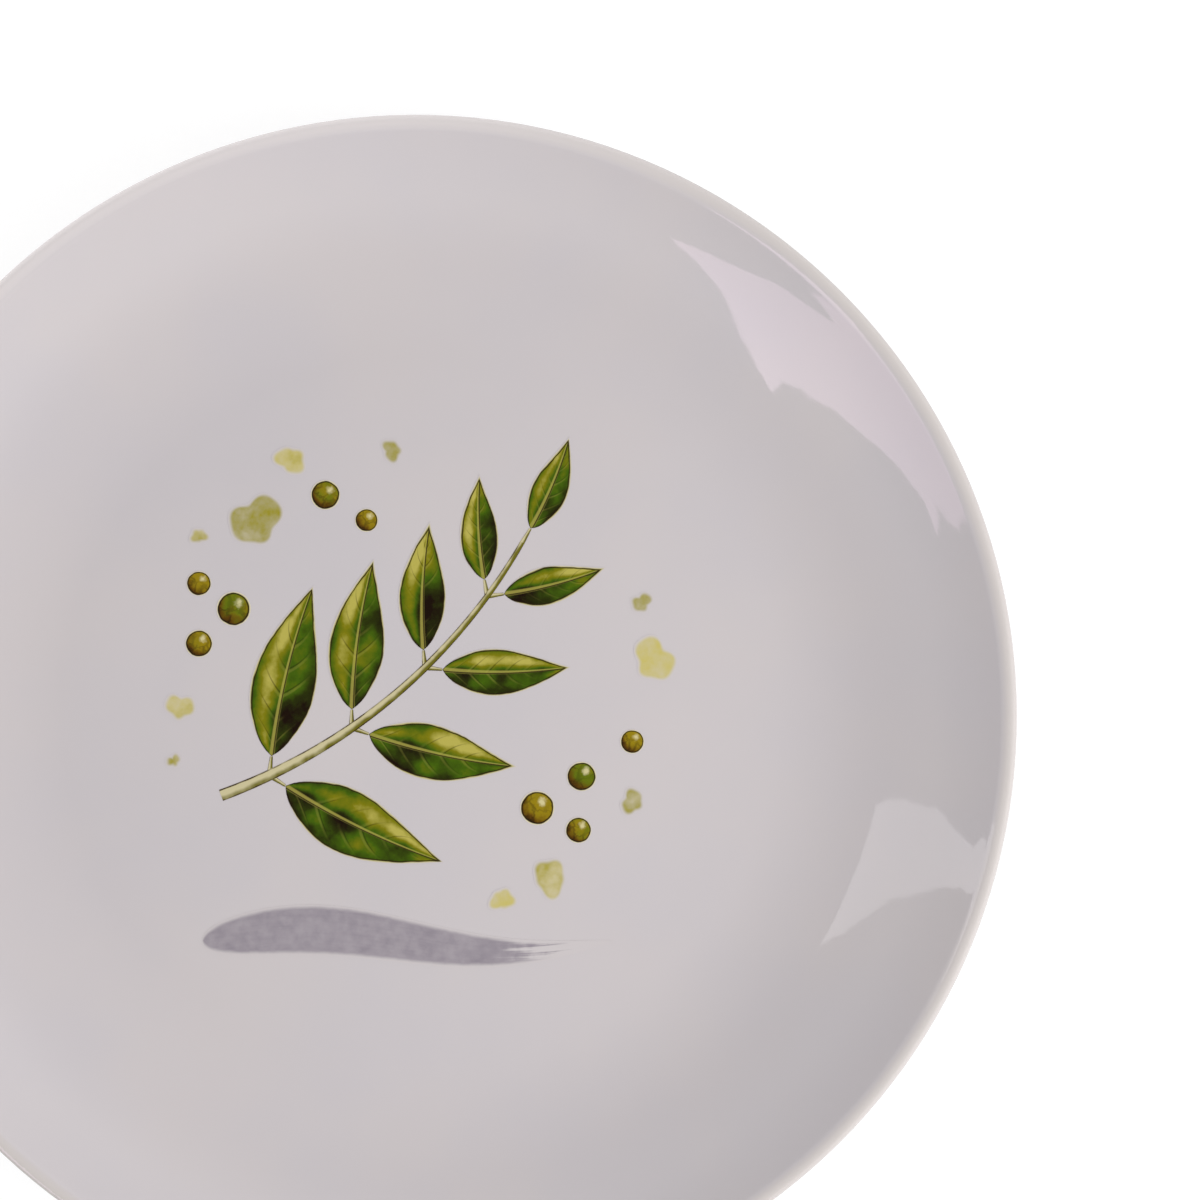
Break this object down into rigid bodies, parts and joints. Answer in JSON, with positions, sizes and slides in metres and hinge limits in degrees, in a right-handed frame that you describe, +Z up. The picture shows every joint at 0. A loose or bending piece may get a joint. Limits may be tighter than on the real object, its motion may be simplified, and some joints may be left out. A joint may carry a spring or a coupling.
{
  "type": "antipasti plate",
  "caption": "Round coupe plate of white glazed porcelain with a flat centre, a wall that curves up to a rounded lip, a foot ring and a printed herb sprig.",
  "frame": {"origin": "centre of the plane that the foot ring stands on", "axes": "+Z up out of the dish, +Y towards the top of the print, +X to the right of the print"},
  "size_m": [0.2, 0.2, 0.023],
  "materials": {
    "porcelain": "bare fired porcelain, matt",
    "glaze": "smooth glossy white glaze",
    "leaf_colour": "fired print, watercolour green",
    "stem_colour": "fired print, dark olive",
    "peppercorn_colour": "fired print, olive gold and brown",
    "wash_colour": "fired print, pale yellow green wash",
    "stroke_colour": "fired print, mauve grey"
  },
  "bodies": {
    "root": {"porcelain_body": "porcelain", "glaze_coat": "glaze", "foot_well_glaze": "glaze", "stem_print": "stem_colour", "leaf_1": "leaf_colour", "leaf_2": "leaf_colour", "leaf_3": "leaf_colour", "leaf_4": "leaf_colour", "leaf_5": "leaf_colour", "leaf_6": "leaf_colour", "leaf_7": "leaf_colour", "leaf_8": "leaf_colour", "leaf_9": "leaf_colour", "peppercorn_print": "peppercorn_colour", "wash_print": "wash_colour", "brush_stroke": "stroke_colour"}
  },
  "joints": []
}
